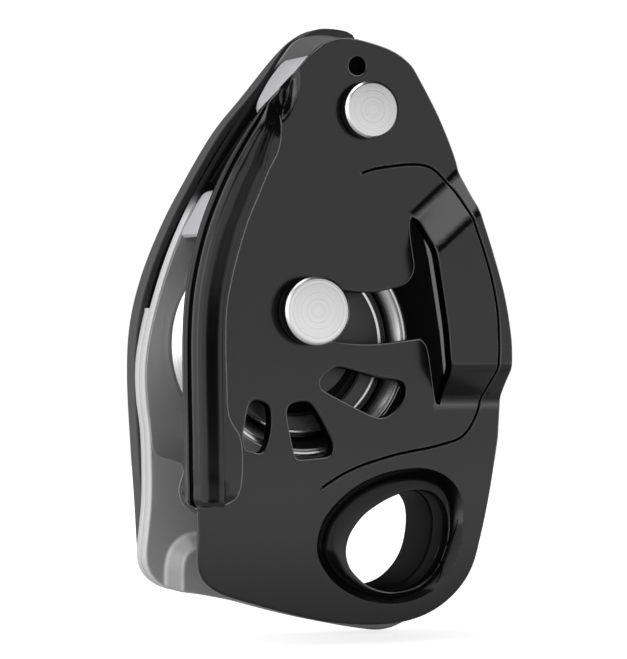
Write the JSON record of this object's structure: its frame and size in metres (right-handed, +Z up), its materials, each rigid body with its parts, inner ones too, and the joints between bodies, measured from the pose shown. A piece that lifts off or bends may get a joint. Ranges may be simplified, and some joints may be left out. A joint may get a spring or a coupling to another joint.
{
  "type": "belay device",
  "caption": "Cam-assisted belay device with a swinging side plate, a rope wheel on a pivoting cam and a folding release lever.",
  "frame": {"origin": "middle of the attachment hole, halfway between the two side plates", "axes": "+X to the right seen from the moving plate, +Y from the moving plate to the release lever, +Z up to the top pivot"},
  "size_m": [0.0617, 0.042, 0.113],
  "materials": {
    "black_anodised": "glossy black anodised aluminium",
    "grey_anodised": "satin grey anodised",
    "steel": "turned and brushed",
    "dark_steel": "dark blackened steel",
    "black_nylon": "moulded black nylon"
  },
  "bodies": {
    "frame": {"fixed_side_plate": "grey_anodised", "rear_backing_plate": "grey_anodised", "wear_plate": "steel", "wear_plate_rivet_lower": "steel", "wear_plate_rivet_upper": "steel", "brake_pad": "steel", "brake_pad_rivet_lower": "steel", "brake_pad_rivet_upper": "steel", "top_spacer_block": "steel", "spacer_pin_left": "steel", "spacer_pin_right": "steel", "top_pivot_rivet": "steel", "pivot_slip_washer": "black_nylon", "rope_channel_liner": "black_nylon", "cam_axle": "steel", "axle_tail_washer": "steel", "spring_anchor_pin": "steel", "cam_return_spring": "steel"},
    "moving_plate": {"moving_side_plate": "black_anodised"},
    "cam": {"cam_carrier": "black_anodised", "cam_release_pin": "steel", "bearing_inner_ring": "dark_steel", "bearing_collar": "dark_steel"},
    "wheel": {"rope_wheel": "steel", "bearing_outer_ring": "steel"},
    "ball_cage": {"bearing_cage": "dark_steel", "bearing_ball_01": "steel", "bearing_ball_02": "steel", "bearing_ball_03": "steel", "bearing_ball_04": "steel", "bearing_ball_05": "steel", "bearing_ball_06": "steel", "bearing_ball_07": "steel", "bearing_ball_08": "steel", "bearing_ball_09": "steel", "bearing_ball_10": "steel", "bearing_ball_11": "steel", "bearing_ball_12": "steel"},
    "arm": {"release_arm": "dark_steel", "lever_hinge_rivet": "steel", "lever_stop_pin": "steel"},
    "lever": {"handle_lever": "black_nylon", "lever_bush": "steel"}
  },
  "joints": [
    {"name": "plate_swing", "type": "hinge", "parent": "frame", "child": "moving_plate", "pos_m": [-0.008, 0, 0.0781], "axis": [0, 1, 0], "range_deg": [0, 85]},
    {"name": "cam_swing", "type": "hinge", "parent": "frame", "child": "cam", "pos_m": [-0.019, 0, 0.042], "axis": [0, -1, 0], "range_deg": [-55, 0], "stiffness_Nm_per_rad": 0.05, "springref_deg": 34.38, "deforming": ["cam_return_spring"]},
    {"name": "wheel_spin", "type": "hinge", "parent": "cam", "child": "wheel", "pos_m": [-0.0184, 0, 0.0359], "axis": [0, 1, 0], "continuous": true},
    {"name": "ball_cage_spin", "type": "hinge", "parent": "cam", "child": "ball_cage", "pos_m": [-0.0184, 0, 0.0359], "axis": [0, 1, 0], "continuous": true},
    {"name": "arm_swing", "type": "hinge", "parent": "frame", "child": "arm", "pos_m": [-0.019, 0, 0.042], "axis": [0, -1, 0], "range_deg": [0, 58], "stiffness_Nm_per_rad": 0.03, "springref_deg": -34.38},
    {"name": "lever_unfold", "type": "hinge", "parent": "arm", "child": "lever", "pos_m": [-0.0315, 0, 0.014], "axis": [0, -1, 0], "range_deg": [0, 100], "stiffness_Nm_per_rad": 0.02, "springref_deg": -34.38}
  ],
  "couplings": [
    {"joint": "ball_cage_spin", "follows": "wheel_spin", "ratio": 0.548}
  ]
}
